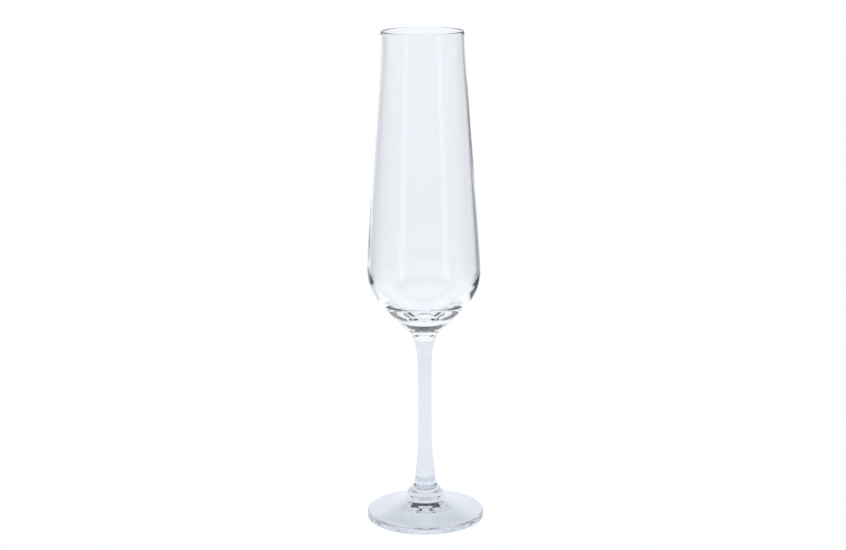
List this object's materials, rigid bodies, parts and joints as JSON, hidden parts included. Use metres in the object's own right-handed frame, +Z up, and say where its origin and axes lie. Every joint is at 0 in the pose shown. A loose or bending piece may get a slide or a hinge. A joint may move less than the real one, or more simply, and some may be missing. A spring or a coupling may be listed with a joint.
{
  "type": "champagne flute",
  "caption": "Tall stemmed flute in clear glass: slim bowl tapering in to the rim, thick rounded base, slender solid stem and flat round foot.",
  "frame": {"origin": "centre of the foot's underside, on the surface that the glass stands on", "axes": "+Z up along the axis of the stem and bowl; X and Y are equal, because every piece is turned about Z"},
  "size_m": [0.06, 0.06, 0.25],
  "materials": {
    "bowl_glass": "clear blown glass, fire polished",
    "stem_glass": "clear drawn glass",
    "foot_glass": "clear pressed glass, fire polished, faint settle rings"
  },
  "bodies": {
    "root": {"bowl": "bowl_glass", "stem": "stem_glass", "foot": "foot_glass"}
  },
  "joints": []
}
